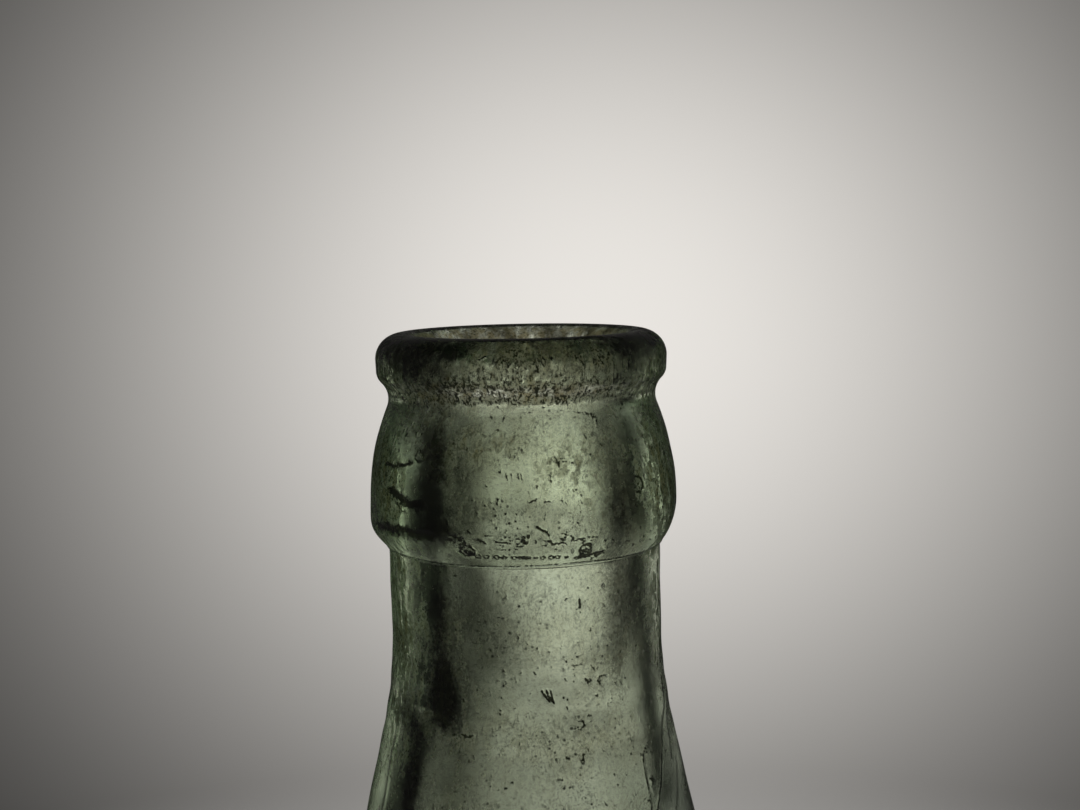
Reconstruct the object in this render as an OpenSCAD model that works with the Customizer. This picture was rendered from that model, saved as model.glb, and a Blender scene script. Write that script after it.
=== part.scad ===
// Glass soda bottle with a tooled crown finish, straight sided and bare.
// Everything is turned about +Z. The bottle parts where its forming tools met:
// the lipping tool, the neck mould, the body mould and the base plate.
// Millimetres, +Z up, origin at the centre of the foot. Outlines are [radius, height].

/* [Overall] */
// Height from the foot to the crest of the lip
height = 195; // [185:1:225]
// Outside diameter of the straight wall
body_d = 57; // [53:0.5:61]
// Thickness of the straight wall
wall = 4; // [3:0.1:5]

/* [Mouth and lip] */
// Diameter of the bore
bore_d = 17; // [15.6:0.1:18]
// Outside diameter of the crown lip
lip_d = 26.6; // [26.2:0.05:27]
// Depth below the crest where the lip starts to turn under
lip_drop = 3.4; // [2.9:0.1:3.8]
// Radius of the lip's under edge
lip_under = 1.4; // [1.2:0.05:1.6]
// Diameter at the bottom of the groove under the lip
groove_d = 24.6; // [24.2:0.1:24.8]
// Radius of the groove
groove_round = 2; // [1.6:0.1:2.4]

/* [Collar] */
// Outside diameter of the collar at its widest
collar_d = 28.3; // [27.6:0.1:29]
// Depth of the collar's widest line below the crest of the lip
collar_drop = 15.3; // [14:0.1:16]
// Depth of the collar's lower edge below the crest of the lip
collar_end = 19.2; // [18.5:0.1:20]
// How far the lower edge stands proud of the neck
collar_ledge = 0.15; // [0.05:0.05:0.3]

/* [Lap under the finish] */
// Wall of the neck's end at its tip, inside the finish
spigot_wall = 2.1; // [1.8:0.1:2.4]
// Step that the finish sits on, where the neck turns in to its spigot
seat = 0.9; // [0.6:0.1:1.2]
// Depth of the spigot's tip below the crest of the lip
spigot_drop = 3.2; // [2.6:0.1:4]
// Play left in the lap: the glass was run on hot, so there is none
lap_play = 0; // [0:0.01:0.1]

/* [Neck and shoulder] */
// Outside diameter of the neck
neck_d = 25.2; // [24.8:0.1:25.8]
// Depth below the crest of the lip where the neck starts to flare
flare_drop = 27; // [24:0.5:32]
// Radius of the flare
flare_round = 45; // [35:1:55]
// Slope of the shoulder, away from upright
slope = 12.7; // [12:0.1:16]
// Radius that turns the shoulder into the straight wall
shoulder_round = 100; // [60:1:130]

/* [Foot] */
// Height of the base plate's parting line
heel_seam = 10; // [9:0.5:14]
// Radius of the heel
heel_round = 7; // [5:0.5:8]
// Width of the ring that the bottle stands on
foot_w = 3.5; // [2.5:0.1:4.5]
// Radius of the foot's inner edge
foot_round = 1.6; // [1:0.1:2]
// Height of the push-up at its middle
push_up = 6.5; // [4:0.5:8]
// Thickness of the glass over the push-up
base_t = 8; // [5:0.1:9]
// Radius where the inside floor meets the wall
floor_round = 5; // [3:0.5:7]

/* [Hidden] */
glass = [0.55, 0.62, 0.5, 0.55];
arc_steps = 10;
$fn = 96;

// Radii that the diameters give
body_r = body_d / 2;
bore_r = bore_d / 2;
lip_r = lip_d / 2;
groove_r = groove_d / 2;
collar_r = collar_d / 2;
neck_r = neck_d / 2;
edge_r = neck_r + collar_ledge;
inner_r = body_r - wall;
neck_wall = neck_r - bore_r;

// Heights that the depths below the crest of the lip give
lip_z = height - lip_drop;
collar_z = height - collar_drop;
seat_z = height - collar_end;
tip_z = height - spigot_drop;
flare_z = height - flare_drop;

// Lip: half round from bore to outside, then the under edge runs into the groove
mouth_round = (lip_r - bore_r) / 2;
mouth_c = [bore_r + mouth_round, height - mouth_round];
under_c = [lip_r - lip_under, lip_z];
groove_x = groove_r + groove_round;
under_to_groove = lip_under + groove_round;
groove_c = [groove_x, lip_z - sqrt(pow(under_to_groove, 2) - pow(groove_x - under_c[0], 2))];

// Collar: one long round from the groove to the widest line, one short round below it
collar_h = groove_c[1] - collar_z;
collar_rise = collar_r - groove_r;
collar_round = (pow(groove_x - collar_r, 2) + pow(collar_h, 2) - pow(groove_round, 2)) / (2 * collar_rise);
collar_c = [collar_r - collar_round, collar_z];
edge_h = collar_z - seat_z;
edge_in = collar_r - edge_r;
edge_round = (pow(edge_h, 2) + pow(edge_in, 2)) / (2 * edge_in);
edge_c = [collar_r - edge_round, collar_z];

// Shoulder: flare, straight slope, round
slope_len = (body_r - neck_r - (flare_round + shoulder_round) * (1 - cos(slope))) / sin(slope);
shoulder_z = flare_z - (flare_round + shoulder_round) * sin(slope) - slope_len * cos(slope);

// Foot: bearing ring between the heel and the push-up
foot_out = body_r - heel_round;
foot_in = foot_out - foot_w;
foot_in_c = [foot_in, foot_round];
floor_z = push_up + base_t;
floor_edge_c = [inner_r - floor_round, heel_seam];

// Direction from one centre to another
function toward(a, b) = atan2(b[1] - a[1], b[0] - a[0]);

// Points along an arc
function arc(c, r, a0, a1, steps = arc_steps) =
    [for (i = [0:steps]) let (a = a0 + (a1 - a0) * i / steps) c + r * [cos(a), sin(a)]];

// Radius of a ball centred on the axis, with its crest at z, that touches a round from outside
function ball(c, r, z) = (pow(c[0], 2) + pow(c[1] - z, 2) - pow(r, 2)) / (2 * (r - c[1] + z));

// Outside of the finish from the bore's rim to the collar's lower edge
finish_skin = concat(
    arc(mouth_c, mouth_round, 180, 0, 2 * arc_steps),
    arc(under_c, lip_under, 0, toward(under_c, groove_c)),
    arc(groove_c, groove_round, 180 + toward(under_c, groove_c), 360 + toward(groove_c, collar_c)),
    arc(collar_c, collar_round, toward(collar_c, groove_c), 0),
    arc(edge_c, edge_round, 0, -asin(edge_h / edge_round))
);

// Outside of the neck and shoulder, downwards from the end of the plain neck
shoulder_skin = concat(
    arc([neck_r + flare_round, flare_z], flare_round, 180, 180 + slope),
    arc([body_r - shoulder_round, shoulder_z], shoulder_round, slope, 0)
);

// The wall thins steadily from the neck to the shoulder's foot
function wall_at(z) = wall + (neck_wall - wall) * (z - shoulder_z) / (flare_z - shoulder_z);

// The same outline turned back up the inside
function inside(skin) =
    [for (i = [len(skin) - 1:-1:0]) [skin[i][0] - wall_at(skin[i][1]), skin[i][1]]];

module crown_finish() {
    socket_root = neck_r - seat + lap_play;
    socket_tip = bore_r + spigot_wall + lap_play;
    color(glass)
        rotate_extrude()
            polygon(concat(finish_skin, [
                [socket_root, seat_z],
                [socket_tip, tip_z + lap_play],
                [bore_r, tip_z + lap_play]
            ]));
}

module neck_and_shoulder() {
    color(glass)
        rotate_extrude()
            polygon(concat(
                [
                    [bore_r, tip_z],
                    [bore_r + spigot_wall, tip_z],
                    [neck_r - seat, seat_z],
                    [neck_r, seat_z]
                ],
                shoulder_skin,
                inside(shoulder_skin)
            ));
}

module body_wall() {
    color(glass)
        translate([0, 0, heel_seam])
            difference() {
                cylinder(r = body_r, h = shoulder_z - heel_seam);
                translate([0, 0, -1])
                    cylinder(r = inner_r, h = shoulder_z - heel_seam + 2);
            }
}

module push_up_base() {
    push_ball = ball(foot_in_c, foot_round, push_up);
    push_c = [0, push_up - push_ball];
    floor_ball = ball(floor_edge_c, floor_round, floor_z);
    floor_c = [0, floor_z - floor_ball];
    color(glass)
        rotate_extrude()
            polygon(concat(
                [[body_r, heel_seam]],
                arc([foot_out, heel_round], heel_round, 0, -90),
                arc(foot_in_c, foot_round, 270, 360 + toward(foot_in_c, push_c), 4),
                arc(push_c, push_ball, toward(push_c, foot_in_c), 90),
                arc(floor_c, floor_ball, 90, toward(floor_c, floor_edge_c)),
                arc(floor_edge_c, floor_round, toward(floor_edge_c, floor_c), 0)
            ));
}

crown_finish();
neck_and_shoulder();
body_wall();
push_up_base();
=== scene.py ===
# %% [markdown]
# # An old glass soda bottle
#
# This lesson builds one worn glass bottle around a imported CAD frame. The bottle is a single
# run of glass, but four tools shaped it, and each left a line where it met the next. So it is
# made here as four closed pieces that meet face to face: the finish (lip and collar), the neck
# with its shoulder, the straight wall and the base with its push-up.
#
# Glass lives by its thickness, its small faults and what stands behind it. Most of the cells
# below deal with those three things.

import math

import bpy
import numpy as np
from mathutils import Matrix, Vector


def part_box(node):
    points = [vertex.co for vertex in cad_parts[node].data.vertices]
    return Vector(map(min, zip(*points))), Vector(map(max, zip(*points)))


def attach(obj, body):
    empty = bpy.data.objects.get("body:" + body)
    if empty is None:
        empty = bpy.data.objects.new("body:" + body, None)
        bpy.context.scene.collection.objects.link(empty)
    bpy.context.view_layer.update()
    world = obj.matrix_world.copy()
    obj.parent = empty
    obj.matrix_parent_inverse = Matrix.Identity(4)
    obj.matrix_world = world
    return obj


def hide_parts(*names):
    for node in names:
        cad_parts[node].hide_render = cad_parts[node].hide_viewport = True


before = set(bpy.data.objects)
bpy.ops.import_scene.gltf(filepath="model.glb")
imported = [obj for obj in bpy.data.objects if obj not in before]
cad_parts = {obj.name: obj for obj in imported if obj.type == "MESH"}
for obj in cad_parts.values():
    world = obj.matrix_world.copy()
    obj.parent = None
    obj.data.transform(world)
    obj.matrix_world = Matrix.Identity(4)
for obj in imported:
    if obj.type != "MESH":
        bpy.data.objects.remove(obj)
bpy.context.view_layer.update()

# %% [markdown]
# ## Sizes
#
# A bottle maker measures downwards from the crest of the lip, because the cap has to fit
# there. The same is done here: a "drop" is a depth below the crest. The bottle's sizes are in
# millimetres until a mesh is made. The studio round it is in metres.

# %% The bottle's sizes
MM = 0.001
HEIGHT = 195.0
BODY_R = 28.5
WALL = 4.0
BORE_R = 8.5
LIP_R, LIP_DROP, LIP_UNDER = 13.3, 3.4, 1.4
GROOVE_R, GROOVE_ROUND = 12.3, 2.0
COLLAR_R, COLLAR_DROP, COLLAR_END, COLLAR_LEDGE = 14.15, 15.3, 19.2, 0.15
NECK_R, FLARE_DROP, FLARE_ROUND = 12.6, 27.0, 45.0
SPIGOT_WALL, SEAT, SPIGOT_DROP = 2.1, 0.9, 3.2
SLOPE, SHOULDER_ROUND = math.radians(12.7), 100.0
HEEL_SEAM, HEEL_ROUND, FOOT_W, FOOT_ROUND = 10.0, 7.0, 3.5, 1.6
PUSH_UP, BASE_T, FLOOR_ROUND = 6.5, 8.0, 5.0
SPLIT = 0.01  # air left between two pieces, so that their faces never coincide

finish_low, finish_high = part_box("crown_finish")
print("finish from the frame:", tuple(finish_low), tuple(finish_high))

# %% [markdown]
# ## The camera
#
# The bottle is seen from close by, a little above the lip, with an ordinary lens. The view is
# turned a touch to the right and the camera leans about one degree, so the bottle stands left
# of the middle and tips slightly.

# %% Set up the camera
EYE_DISTANCE = 131.1  # from the bottle's axis to the lens
EYE_OVER_LIP = 8.05
LOOK_DOWN = math.radians(6.49)
LOOK_RIGHT = math.radians(0.72)
LEAN = math.radians(1.1)
LENS, SENSOR = 48.03, 36.0

eye = Vector((0, -EYE_DISTANCE, HEIGHT + EYE_OVER_LIP)) * MM
turn = (
    Matrix.Rotation(-LOOK_RIGHT, 4, "Z")
    @ Matrix.Rotation(math.pi / 2 - LOOK_DOWN, 4, "X")
    @ Matrix.Rotation(-LEAN, 4, "Z")
)
camera_data = bpy.data.cameras.new("camera")
camera_data.lens = LENS
camera_data.sensor_width = SENSOR
camera_data.clip_start = 0.001
camera = bpy.data.objects.new("camera", camera_data)
camera.matrix_world = Matrix.Translation(eye) @ turn
bpy.context.scene.collection.objects.link(camera)
bpy.context.scene.camera = camera
print("camera at", tuple(round(v, 4) for v in eye))

# %% [markdown]
# ## Node helpers
#
# A pattern is easier to read as a sum than as a web of nodes. `add` makes one node, and
# `Value` wraps what a node gives out, so that `a * b + c` builds the Math nodes by itself.

# %% Small helpers for node trees
def add(tree, kind, inputs=None, **settings):
    """Makes a node, sets its properties, then stores or links each named input."""
    node = tree.nodes.new("ShaderNode" + kind)
    for name, setting in settings.items():
        setattr(node, name, setting)
    for name, given in (inputs or {}).items():
        if isinstance(given, Value):
            tree.links.new(given.socket, node.inputs[name])
        else:
            node.inputs[name].default_value = given
    return node


class Value:
    """What a node gives out. Sums with it make Math nodes in the same tree."""

    def __init__(self, node, output=0):
        self.tree = node.id_data
        self.socket = node.outputs[output]

    def math(self, operation, *others, clamp=False):
        """One Math node. The others are numbers or Values."""
        inputs = dict(enumerate((self, *others)))
        return Value(add(self.tree, "Math", inputs, operation=operation, use_clamp=clamp))

    def __add__(self, other):
        return self.math("ADD", other)

    def __sub__(self, other):
        return self.math("SUBTRACT", other)

    def __rsub__(self, other):
        return self * -1.0 + other

    def __mul__(self, other):
        return self.math("MULTIPLY", other)

    def __truediv__(self, other):
        return self.math("DIVIDE", other)

    def __abs__(self):
        return self.math("ABSOLUTE")

    def most(self, *others):
        """The largest of itself and the others."""
        largest = self
        for other in others:
            largest = largest.math("MAXIMUM", other)
        return largest

    def remap(self, low, high, to_low=0.0, to_high=1.0, shape="LINEAR"):
        """Stretches the value from one span to another, with its ends held."""
        span = {"From Min": low, "From Max": high, "To Min": to_low, "To Max": to_high}
        return Value(add(self.tree, "MapRange", {"Value": self, **span}, interpolation_type=shape))

    def ease(self, *span):
        """The same as remap, but eased at both ends."""
        return self.remap(*span, shape="SMOOTHSTEP")


def mix(share, first, second):
    """Goes from one level to another as the share goes from 0 to 1."""
    return Value(add(share.tree, "Mix", {0: share, 2: first, 3: second}))


def mix_colour(share, first, second):
    """Goes from one colour to another as the share goes from 0 to 1."""
    return Value(add(share.tree, "Mix", {0: share, 6: first, 7: second}, data_type="RGBA"), 2)


def ray(tree, kind):
    """1 for rays of one kind and 0 for all others."""
    return Value(add(tree, "LightPath"), f"Is {kind} Ray")


def blank_material(name):
    """A material with an empty tree and its output node."""
    material = bpy.data.materials.new(name)
    material.use_nodes = True
    material.node_tree.nodes.clear()
    return material, material.node_tree, add(material.node_tree, "OutputMaterial")


# %% [markdown]
# ## The studio
#
# Glass shows its form by what is behind it. So a soft pool of light lies behind the bottle and
# falls off to the sides: rays through the middle of the glass reach the pool, while rays near
# its edges bend outwards, miss it and come back dark. That draws the two dark bands.
#
# The set is one round sheet that lies flat as a floor and curves up into a wall. The pool is
# painted on it in world coordinates, so it stays where it is when the camera walks round.

# %% Faces between two rings
def ring_faces(first, second, first_thin=False, second_thin=False):
    """Faces from one ring of point numbers to the next. A thin ring uses every second point."""
    step = 2 if first_thin or second_thin else 1
    first, second = first + first[:1], second + second[:1]
    faces = []
    for k in range(0, len(first) - 1, step):
        there = second[k : k + step + 1 : 1 + second_thin]
        back = first[k + step : k : -1 - first_thin]
        faces.append(list(dict.fromkeys([first[k]] + there + back)))
    return faces


# %% The sheet: floor and wall in one
FLOOR_FLAT, SHEET_COVE, SHEET_TOP = 0.9, 0.6, 1.5
COVE_STEPS, SHEET_TURNS = 17, 96

cove = [
    (FLOOR_FLAT + SHEET_COVE * math.sin(a), SHEET_COVE * (1 - math.cos(a)))
    for a in np.linspace(0, math.pi / 2, COVE_STEPS)
]
sheet_outline = [(0.15, 0.0), (0.4, 0.0)] + cove + [(FLOOR_FLAT + SHEET_COVE, SHEET_TOP)]
sheet_points, sheet_faces, inner_ring = [(0.0, 0.0, 0.0)], [], [0] * SHEET_TURNS
for radius, level in sheet_outline:
    outer_ring = [len(sheet_points) + k for k in range(SHEET_TURNS)]
    sheet_faces += ring_faces(inner_ring, outer_ring)
    inner_ring = outer_ring
    for a in np.linspace(0, 2 * math.pi, SHEET_TURNS, endpoint=False):
        sheet_points.append((radius * math.cos(a), radius * math.sin(a), level))
sheet_mesh = bpy.data.meshes.new("studio_sheet")
sheet_mesh.from_pydata(sheet_points, [], sheet_faces)
sheet_mesh.shade_smooth()
sheet = bpy.data.objects.new("studio_sheet", sheet_mesh)
bpy.context.scene.collection.objects.link(sheet)
print("studio sheet:", len(sheet_faces), "faces")

# %% [markdown]
# The paint is worked out from the direction in which each point of the sheet lies, as seen
# from one fixed spot in front of the bottle. Close to the bottle the sheet is plain pale
# paper that takes lamp light and the bottle's shadow. Further out it glows by itself, and
# only for rays that look at it, so it throws no light of its own on the object.
#
# A studio for glass also has black cards left and right of the set, just out of view. Rays
# that the glass has bent meet those cards. Here the cards are two dark stretches of the sheet
# that only bent rays see. Straight rays find a plain pale wall outside the pool, and
# reflections are dimmed as a dull, dirty skin dims them.

# %% Levels of the sheet
POOL_PEAK = 0.80
POOL_AT = (0.044, 0.055)  # right and up from the middle of the view, as tangents
POOL_WIDE, POOL_HIGH = 0.350, 0.313
BENT_LEFT, BENT_RIGHT = 0.245, 0.30  # half widths of the pool as bent rays find it
BENT_TURN = 0.05  # how far from the pool's middle one half width has become the other
BENT_GAIN = 0.50  # how much brighter it is for them
POOL_TINT = (1.0, 0.965, 0.915, 1)
PALE_MIDDLE, PALE_SIDE = 0.012, 0.50
PALE_ACROSS, PALE_UP = (0.385, 0.50), (0.288, 0.39)  # tangents between which it rises
CARD_LEVEL, CARD_BACK = 0.003, 0.42
CARD_ENDS, BACK_FULL = 58, 78  # degrees off straight ahead
CARD_TOP = (0.35, 0.80)  # the cards fade out between these heights
GLOSS_SHARE = 0.10
PAPER, PAPER_MIRRORED = (0.66, 0.65, 0.63, 1), (0.12, 0.12, 0.11, 1)
PAPER_ENDS, GLOW_STARTS = 0.24, 0.42

# %% Where each point of the sheet lies
paint, tree, out = blank_material("studio_paint")
place = Value(add(tree, "NewGeometry"), "Position")
look = Value(add(tree, "VectorMath", {0: place, 1: tuple(eye)}, operation="SUBTRACT"))
look = Value(add(tree, "VectorMath", {0: look}, operation="NORMALIZE"))


def share_along(axis):
    """How far the look direction leans along one axis."""
    return Value(add(tree, "VectorMath", {0: look, 1: tuple(axis)}, operation="DOT_PRODUCT"), "Value")


def cosine(degrees):
    """The share of a direction that lies this many degrees off straight ahead."""
    return math.cos(math.radians(degrees))


def reflection_share(tree, level):
    """A level that is dimmed for reflections. Light through glass counts as glossy as well."""
    bounced = ray(tree, "Glossy") - ray(tree, "Transmission")
    return bounced.ease(0.0, 1.0, level, level * GLOSS_SHARE)


# %% Paint the pool and the pale wall
bent_ray = ray(tree, "Transmission")
view_axes = turn.to_3x3()
ahead = share_along(-view_axes.col[2]).most(0.001)
pool_power = pale = 0.0
for axis, centre, width, edge in (
    (0, POOL_AT[0], POOL_WIDE, PALE_ACROSS),
    (1, POOL_AT[1], POOL_HIGH, PALE_UP),
):
    tangent = share_along(view_axes.col[axis]) / ahead
    pale = abs(tangent).ease(*edge, PALE_MIDDLE, PALE_SIDE).most(pale)
    if axis == 0:
        bent = tangent.ease(centre - BENT_TURN, centre + BENT_TURN, BENT_LEFT, BENT_RIGHT)
        width = mix(bent_ray, width, bent)
    off = (tangent - centre) / width
    pool_power = off * off + pool_power
pool = (pool_power * -1.0).math("EXPONENT") * (bent_ray * (BENT_GAIN * POOL_PEAK) + POOL_PEAK)

# %% Add the cards and the paper
card = share_along((0, 1, 0)).ease(cosine(CARD_ENDS), cosine(BACK_FULL), CARD_LEVEL, CARD_BACK)
rise = Value(add(tree, "SeparateXYZ", {0: place}), "Z")
card = mix(rise.ease(*CARD_TOP, 0.0, 1.0), card, pale)
shine = reflection_share(tree, 1.0)
glow_level = (pool + mix(bent_ray, pale, card)) * shine
glow = add(tree, "Emission", {"Color": POOL_TINT, "Strength": glow_level})
paper = add(tree, "BsdfDiffuse", {"Color": mix_colour(shine, PAPER_MIRRORED, PAPER)})
away = Value(add(tree, "VectorMath", {0: place}, operation="LENGTH"), "Value")
seen = bent_ray.most(ray(tree, "Camera"), ray(tree, "Glossy"))
glows = away.ease(PAPER_ENDS, GLOW_STARTS, 0.0, 1.0) * seen
painted = add(tree, "MixShader", {0: glows, 1: Value(paper), 2: Value(glow)})
tree.links.new(painted.outputs[0], out.inputs["Surface"])
sheet_mesh.materials.append(paint)
bpy.context.scene.view_settings.view_transform = "Standard"
print("studio paint:", len(tree.nodes), "nodes")

# %% The air above the set
AIR_LEVEL, AIR_COLOUR = 0.12, (0.9, 0.95, 1, 1)
world = bpy.data.worlds.new("studio_air")
world.use_nodes = True
bpy.context.scene.world = world
air = world.node_tree
air.links.new(reflection_share(air, AIR_LEVEL).socket, air.nodes["Background"].inputs["Strength"])
air.nodes["Background"].inputs["Color"].default_value = AIR_COLOUR

# %% [markdown]
# Two large soft lamps hang high over the set. They light the paper near the bottle and the
# dirt on the glass. They are kept out of reflections, where they would draw hard white shapes.

# %% Hang the lamps
def soft_lamp(name, place, size, watts):
    """A square soft lamp that looks at the middle of the bottle."""
    data = bpy.data.lights.new(name, "AREA")
    data.size = size
    data.energy = watts
    lamp = bpy.data.objects.new(name, data)
    lamp.location = place
    middle = Vector((0, 0, HEIGHT * MM / 2))
    lamp.rotation_euler = (middle - Vector(place)).to_track_quat("-Z", "Y").to_euler()
    lamp.visible_glossy = False
    lamp.visible_transmission = False
    bpy.context.scene.collection.objects.link(lamp)


soft_lamp("lamp_left", (-0.7, -0.4, 1.3), 0.9, 9)
soft_lamp("lamp_right", (0.6, 0.7, 1.4), 0.9, 9)

# %% [markdown]
# ## Outlines
#
# A turned piece is an outline spun about the axis. Glass that was tooled hot has no sharp
# corners: the lip is half round, its under edge runs into a hollow groove and the collar
# swells out of the groove in one long curve. Each stretch is an arc, and neighbouring arcs
# touch without a kink because each centre is worked out from the one before.

# %% Arcs and evenly spaced points
def arc(centre, radius, start, end, gap):
    """Points along an arc, no more than gap apart. Angles are in degrees."""
    steps = max(2, math.ceil(abs(math.radians(end - start)) * radius / gap))
    angles = np.radians(np.linspace(start, end, steps + 1))
    return [(centre[0] + radius * math.cos(a), centre[1] + radius * math.sin(a)) for a in angles]


def line(start, end, gap):
    """Points along a straight stretch, no more than gap apart."""
    steps = max(1, math.ceil(math.dist(start, end) / gap))
    return [tuple(p) for p in np.linspace(start, end, steps + 1)]


def toward(start, end):
    """Direction from one centre to another, in degrees."""
    return math.degrees(math.atan2(end[1] - start[1], end[0] - start[0]))


def ball_radius(centre, radius, crest):
    """Radius of a ball on the axis, with its crest at a height, that touches a round."""
    rise = centre[1] - crest
    return (centre[0] ** 2 + rise**2 - radius**2) / (2 * (radius - rise))


def joined(*stretches):
    """Runs stretches into one list, without the points that two of them share."""
    points = []
    for stretch in stretches:
        for point in stretch:
            if not points or math.dist(point, points[-1]) > 0.001:
                points.append(point)
    return points


# %% Outline of the finish
FINE, MEDIUM, COARSE = 0.15, 0.5, 1.3  # spacing of the points

lip_z = HEIGHT - LIP_DROP
collar_z = HEIGHT - COLLAR_DROP
seat_z = HEIGHT - COLLAR_END
tip_z = HEIGHT - SPIGOT_DROP
mouth_round = (LIP_R - BORE_R) / 2
mouth_at = (BORE_R + mouth_round, HEIGHT - mouth_round)
under_at = (LIP_R - LIP_UNDER, lip_z)
groove_x = GROOVE_R + GROOVE_ROUND
groove_fall = math.sqrt((LIP_UNDER + GROOVE_ROUND) ** 2 - (groove_x - under_at[0]) ** 2)
groove_at = (groove_x, lip_z - groove_fall)
collar_rise = groove_at[1] - collar_z
collar_swell = COLLAR_R - GROOVE_R
collar_round = ((groove_x - COLLAR_R) ** 2 + collar_rise**2 - GROOVE_ROUND**2) / (2 * collar_swell)
collar_at = (COLLAR_R - collar_round, collar_z)
edge_fall, edge_in = collar_z - seat_z, COLLAR_R - NECK_R - COLLAR_LEDGE
edge_round = (edge_fall**2 + edge_in**2) / (2 * edge_in)
edge_at = (COLLAR_R - edge_round, collar_z)
edge_turn = -math.degrees(math.asin(edge_fall / edge_round))

to_groove, to_collar = toward(under_at, groove_at), toward(groove_at, collar_at)
finish_skin = joined(
    arc(mouth_at, mouth_round, 180, 90, 2 * FINE),
    arc(mouth_at, mouth_round, 90, 0, FINE),
    arc(under_at, LIP_UNDER, 0, to_groove, FINE),
    arc(groove_at, GROOVE_ROUND, 180 + to_groove, 360 + to_collar, FINE),
    arc(collar_at, collar_round, toward(collar_at, groove_at), 0, FINE),
    arc(edge_at, edge_round, 0, edge_turn, FINE),
)
print("finish skin:", len(finish_skin), "points, long round of the collar", round(collar_round, 2), "mm")

# %% Outlines of the neck and shoulder
flare_z = HEIGHT - FLARE_DROP
rounds = FLARE_ROUND + SHOULDER_ROUND
slope_length = (BODY_R - NECK_R - rounds * (1 - math.cos(SLOPE))) / math.sin(SLOPE)
shoulder_z = flare_z - rounds * math.sin(SLOPE) - slope_length * math.cos(SLOPE)
slope_deg = math.degrees(SLOPE)
flare = arc((NECK_R + FLARE_ROUND, flare_z), FLARE_ROUND, 180, 180 + slope_deg, 1.2 * FINE)
shoulder_arc = arc((BODY_R - SHOULDER_ROUND, shoulder_z), SHOULDER_ROUND, slope_deg, 0, COARSE)
slope_split = tuple(np.add(flare[-1], np.subtract(shoulder_arc[0], flare[-1]) * 0.2))
neck_skin = joined(
    line((NECK_R, seat_z - SPLIT / 2), (NECK_R, flare_z), 1.2 * FINE),
    flare,
    line(flare[-1], slope_split, 1.6 * FINE),
)
shoulder_skin = joined(line(slope_split, shoulder_arc[0], COARSE), shoulder_arc)
print("shoulder ends", round(shoulder_z, 2), "mm up;", len(neck_skin), "+", len(shoulder_skin), "points")


def wall_at(level):
    """The glass thins steadily from the neck to the foot of the shoulder."""
    share = (level - shoulder_z) / (flare_z - shoulder_z)
    return WALL + (NECK_R - BORE_R - WALL) * share


# %% [markdown]
# ## Hand-made unevenness
#
# No two turns of an old bottle are alike. The outside took the shape of the mould and is off
# by a few hundredths of a millimetre. The inside was only blown, and wanders more. Sums of a
# few slow waves round and along the glass give that drift, and they close on themselves, so
# no join shows at the back.

# %% Slow waves over the glass
def slow_waves(seed, count, most_turns, pitch):
    """A smooth field over angle and height, with a size of about 1."""
    draw = np.random.default_rng(seed)
    turns = draw.integers(1, most_turns + 1, count)
    along = draw.normal(0, 2 * math.pi / pitch, count)
    phase = draw.uniform(0, 2 * math.pi, count)

    def field(angle, level):
        total = sum(np.cos(t * angle + k * level + p) for t, k, p in zip(turns, along, phase))
        return total / math.sqrt(count / 2)

    return field


def ramp(value, start, end):
    """Rises smoothly from 0 at start to 1 at end. The start may be the larger of the two."""
    share = np.clip((value - start) / (end - start), 0, 1)
    return share * share * (3 - 2 * share)


def round_gap(first, second):
    """The angle between two places round the bottle, without its sign."""
    return np.abs((first - second + math.pi) % (2 * math.pi) - math.pi)


def patch(angle, drop, turned, fall, wide, tall):
    """A soft spot, placed and sized in degrees round the bottle and millimetres down it."""
    off = np.degrees(round_gap(angle, math.radians(turned)))
    return np.exp(-((off / wide) ** 2) - ((drop - fall) / tall) ** 2)


outer_drift = slow_waves(3, 14, 5, 22.0)
outer_ripple = slow_waves(5, 22, 16, 5.0)
inner_drift = slow_waves(7, 14, 4, 26.0)
inner_ripple = slow_waves(11, 22, 9, 8.0)

# %% [markdown]
# Some of the unevenness has a place. The neck's bore runs off centre below the finish. On one
# side it opens with a small step, where the freely blown part begins. The collar's lower edge
# sagged a little on one side, and faint rings of ripple lie round the neck. Two mould seams
# run up the outside, half a turn apart.

# %% Faults that have a place
INSET = 0.13  # keeps the wavy skin inside the true outline
OUT_DRIFT, OUT_RIPPLE, RINGS_HIGH = 0.045, 0.008, 0.03
IN_DRIFT, IN_RIPPLE, BORE_OFF = 0.09, 0.02, 0.85
STEP_DROP, STEP_RISE = 34.0, 0.26
STEP_SIDE, STEP_SPREAD = -75, 55  # degrees
SAG = 0.30
SEAMS = (-62.5, 117.5)
SEAM_WIDE, SEAM_HIGH = 0.22, 0.035


def outside_shift(angle, level):
    """How far the outside stands off its true outline, in millimetres."""
    drop = HEIGHT - level
    free = ramp(level, 1.0, 9.0) * ramp(drop, 0.0, 5.0)
    shift = OUT_DRIFT * outer_drift(angle, level) + OUT_RIPPLE * outer_ripple(angle, level) - INSET
    rings = np.sin(1.9 * drop + 0.8 * np.sin(angle)) * ramp(drop, 29, 32) * ramp(drop, 39, 36)
    shift += RINGS_HIGH * rings + SAG * patch(angle, drop, -92, 17.6, 38, 1.3)
    body = np.interp(level, SKIN_Z, SKIN_R)
    for seam in SEAMS:
        across = round_gap(angle, math.radians(seam)) * body
        ridge = np.exp(-((across / SEAM_WIDE) ** 2)) * ramp(drop, COLLAR_END, COLLAR_END + 1)
        shift += SEAM_HIGH * ridge * ramp(level, HEEL_SEAM - 6, HEEL_SEAM)
    return np.where(drop > 60, np.minimum(shift, -0.01), shift) * free


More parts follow.
